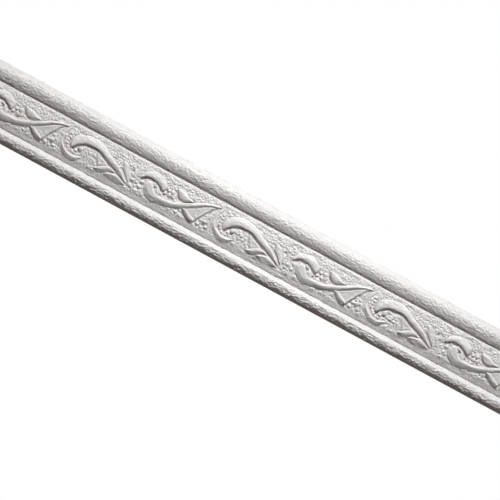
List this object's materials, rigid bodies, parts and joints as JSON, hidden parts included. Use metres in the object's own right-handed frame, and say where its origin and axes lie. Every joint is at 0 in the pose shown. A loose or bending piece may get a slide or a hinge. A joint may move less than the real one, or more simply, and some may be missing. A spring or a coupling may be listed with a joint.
{
  "type": "wall moulding",
  "caption": "Flat self-adhesive border moulding of white embossed foam: two plain beads with a running leaf scroll between them, for a wall, frame or skirting edge.",
  "frame": {"origin": "centre of the back, on the outer face of the adhesive backing, where it meets the wall", "axes": "+X along the strip, +Y into the wall, +Z across the strip towards its wider bead"},
  "size_m": [0.74, 0.008, 0.08],
  "materials": {
    "white_foam": "soft embossed foam with a satin skin",
    "release_paper": "smooth release paper over an adhesive film"
  },
  "bodies": {
    "root": {"foam_strip": "white_foam", "adhesive_backing": "release_paper"}
  },
  "joints": []
}
